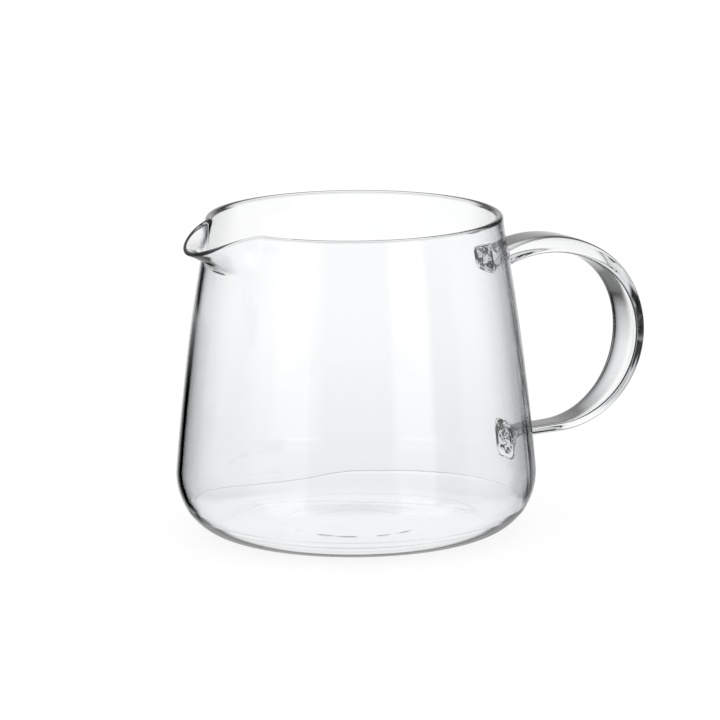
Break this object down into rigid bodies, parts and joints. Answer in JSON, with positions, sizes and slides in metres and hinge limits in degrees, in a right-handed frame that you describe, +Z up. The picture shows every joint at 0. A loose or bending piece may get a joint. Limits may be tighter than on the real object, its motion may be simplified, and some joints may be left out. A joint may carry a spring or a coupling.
{
  "type": "coffee server carafe",
  "caption": "Clear blown-glass coffee server: wide rounded base, tapering wall, pulled pouring spout and a swept glass strap handle welded to the wall.",
  "frame": {"origin": "middle of the flat standing ring, in the plane that rests on the table", "axes": "+Z up, +X from the vessel's axis towards the handle, so the spout points along -X"},
  "size_m": [0.1648, 0.116, 0.1025],
  "materials": {
    "glass": "polished clear borosilicate",
    "weld_glass": "flame-welded clear borosilicate, rippled"
  },
  "bodies": {
    "root": {"vessel": "glass", "handle": "glass", "upper_weld": "weld_glass", "lower_weld": "weld_glass"}
  },
  "joints": []
}
